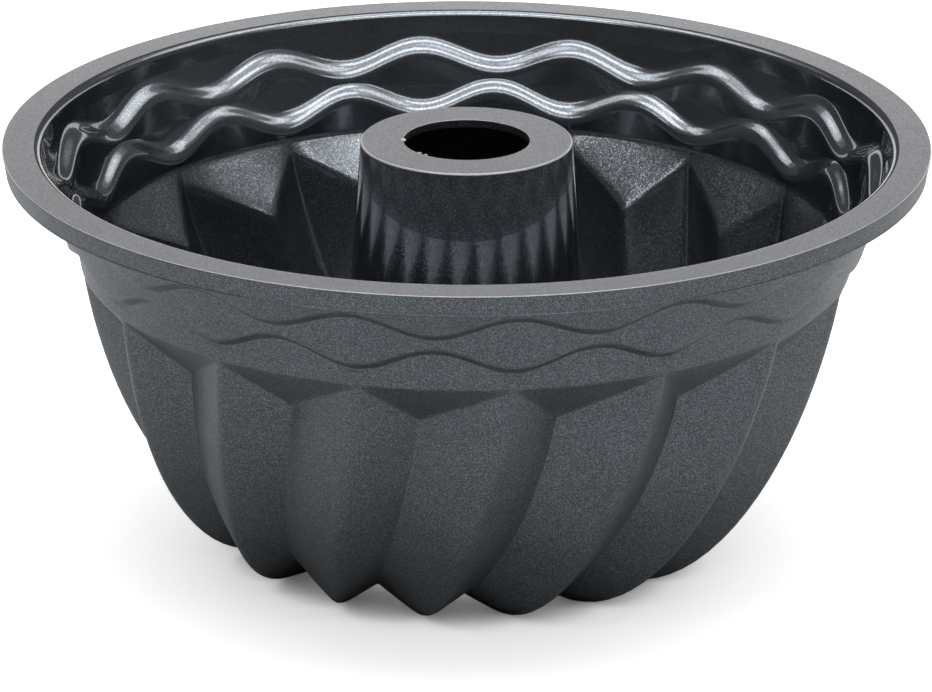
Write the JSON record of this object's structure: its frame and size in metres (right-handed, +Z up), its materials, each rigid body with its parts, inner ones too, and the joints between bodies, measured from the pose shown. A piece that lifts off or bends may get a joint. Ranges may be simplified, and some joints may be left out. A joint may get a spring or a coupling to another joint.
{
  "type": "silicone fluted tube pan",
  "caption": "Round silicone ring-cake mould with a flat rim, wavy stepped band, twisted flutes and a hollow centre tube.",
  "frame": {"origin": "on the pan's axis, in the plane that the flute crests stand on", "axes": "+Z up along the tube's axis towards the mouth, -Y towards the picture's viewer, +X to the viewer's right"},
  "size_m": [0.24, 0.24, 0.11],
  "materials": {
    "silicone_body": "dark blue-grey moulded silicone with a fine sparkle, satin outside and glossy inside",
    "silicone_rim": "dark grey moulded silicone, matte"
  },
  "bodies": {
    "root": {"rim_flange": "silicone_rim", "upper_terrace": "silicone_body", "middle_terrace": "silicone_body", "lower_terrace": "silicone_body", "flute_01": "silicone_body", "flute_02": "silicone_body", "flute_03": "silicone_body", "flute_04": "silicone_body", "flute_05": "silicone_body", "flute_06": "silicone_body", "flute_07": "silicone_body", "flute_08": "silicone_body", "flute_09": "silicone_body", "flute_10": "silicone_body", "flute_11": "silicone_body", "flute_12": "silicone_body", "flute_13": "silicone_body", "flute_14": "silicone_body", "flute_15": "silicone_body", "flute_16": "silicone_body", "floor_ring": "silicone_body", "center_tube": "silicone_body", "tube_lip": "silicone_rim"}
  },
  "joints": []
}
